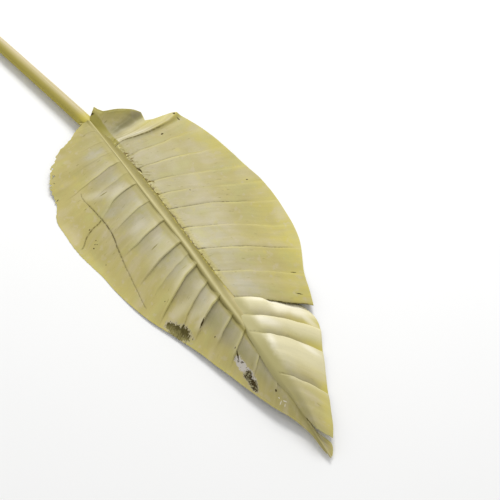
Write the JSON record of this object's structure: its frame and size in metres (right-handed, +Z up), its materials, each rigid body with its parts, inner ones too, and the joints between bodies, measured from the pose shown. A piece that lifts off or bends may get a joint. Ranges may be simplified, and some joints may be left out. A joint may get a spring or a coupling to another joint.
{
  "type": "bird of paradise leaf",
  "caption": "Cut and dried bird of paradise leaf: a long arched blade pleated along its side veins, torn near the tip, on one midrib and petiole, lying ribbed side up.",
  "frame": {"origin": "middle of the leaf's box, on the surface that it lies on", "axes": "+X along the midrib towards the tip, +Y towards the wider half of the blade, +Z up, out of the ribbed side"},
  "size_m": [0.7512, 0.1902, 0.0322],
  "materials": {
    "dried_leaf": "dried blade, pale olive with grey and cream bands, soft waxy gloss"
  },
  "bodies": {
    "root": {"leaf": "dried_leaf"}
  },
  "joints": []
}
